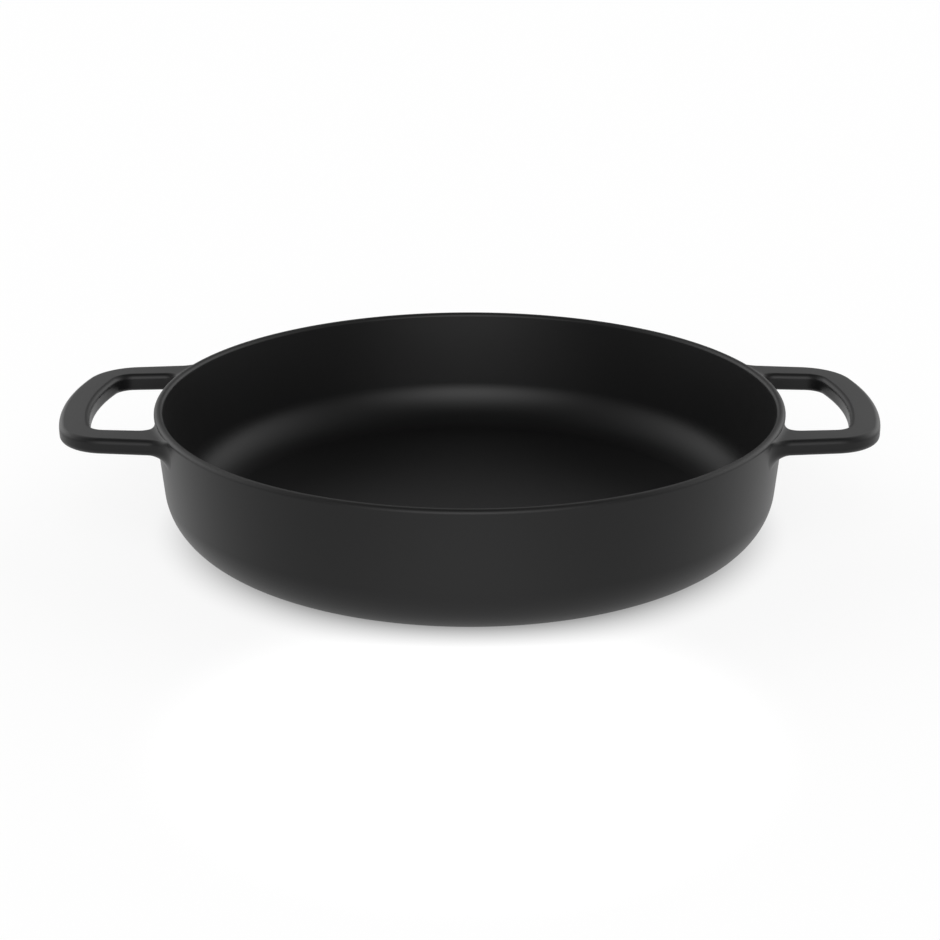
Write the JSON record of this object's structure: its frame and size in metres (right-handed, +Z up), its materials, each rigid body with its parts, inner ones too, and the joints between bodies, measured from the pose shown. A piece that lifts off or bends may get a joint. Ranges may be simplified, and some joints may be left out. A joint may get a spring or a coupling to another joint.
{
  "type": "cast iron pan",
  "caption": "Deep round cast iron pan with a flat base, rounded heel, near-upright wall and flat loop handles set opposite each other just below the rim.",
  "frame": {"origin": "centre of the flat base, on the surface the pan stands on", "axes": "+Z up out of the pan's mouth, +X out along the right handle, +Y away from a cook who faces the pan with a handle at each hand"},
  "size_m": [0.3728, 0.2876, 0.0605],
  "materials": {
    "cast_iron": "satin black, fine cast grain"
  },
  "bodies": {
    "root": {"pan_body": "cast_iron", "left_handle": "cast_iron", "right_handle": "cast_iron"}
  },
  "joints": []
}
